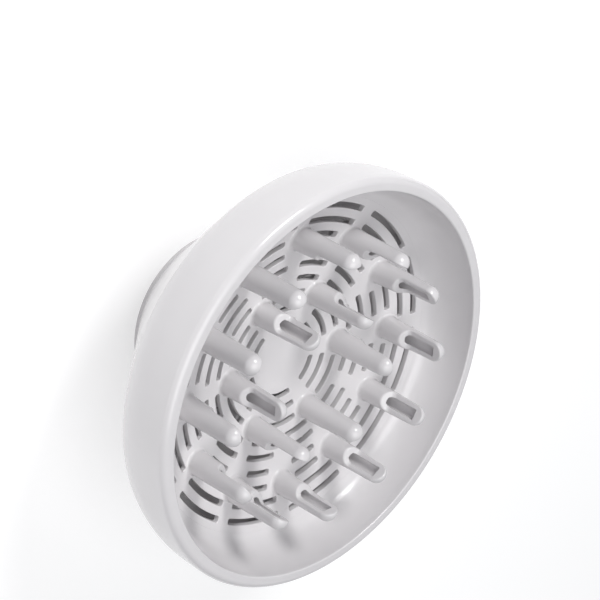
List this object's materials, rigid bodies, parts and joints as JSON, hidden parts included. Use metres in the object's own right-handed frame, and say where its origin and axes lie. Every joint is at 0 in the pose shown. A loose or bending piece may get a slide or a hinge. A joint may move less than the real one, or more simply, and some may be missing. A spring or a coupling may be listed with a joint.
{
  "type": "hair dryer diffuser",
  "caption": "Wide round bowl with a slotted dish and hollow air fingers, and a funnel behind it with a swivelling collar that pushes onto a hair dryer's nozzle.",
  "frame": {"origin": "centre of the collar's end face, on which the diffuser stands with its bowl up", "axes": "+Z along the air's path, out of the bowl; +X through one finger of each ring; the collar turns about Z"},
  "size_m": [0.15, 0.15, 0.0728],
  "materials": {
    "pearl_plastic": "pale pearl grey, moulded, softly glossy",
    "grey_plastic": "mid grey, moulded, matt",
    "soft_grip": "dark grey soft rubber, matt",
    "steel": "bright zinc-plated"
  },
  "bodies": {
    "diffuser": {"front_bowl": "pearl_plastic", "finger_plate": "pearl_plastic", "outer_finger_01": "pearl_plastic", "outer_finger_02": "pearl_plastic", "outer_finger_03": "pearl_plastic", "outer_finger_04": "pearl_plastic", "outer_finger_05": "pearl_plastic", "outer_finger_06": "pearl_plastic", "outer_finger_07": "pearl_plastic", "outer_finger_08": "pearl_plastic", "outer_finger_09": "pearl_plastic", "outer_finger_10": "pearl_plastic", "outer_finger_11": "pearl_plastic", "outer_finger_12": "pearl_plastic", "inner_finger_01": "pearl_plastic", "inner_finger_02": "pearl_plastic", "inner_finger_03": "pearl_plastic", "inner_finger_04": "pearl_plastic", "inner_finger_05": "pearl_plastic", "inner_finger_06": "pearl_plastic", "rear_housing": "pearl_plastic", "air_deflector": "grey_plastic", "deflector_screw": "steel"},
    "collar": {"dryer_collar": "pearl_plastic", "retaining_ring": "grey_plastic", "grip_sleeve": "soft_grip"}
  },
  "joints": [
    {"name": "collar_swivel", "type": "hinge", "parent": "diffuser", "child": "collar", "pos_m": [0, 0, 0], "axis": [0, 0, 1], "continuous": true}
  ]
}
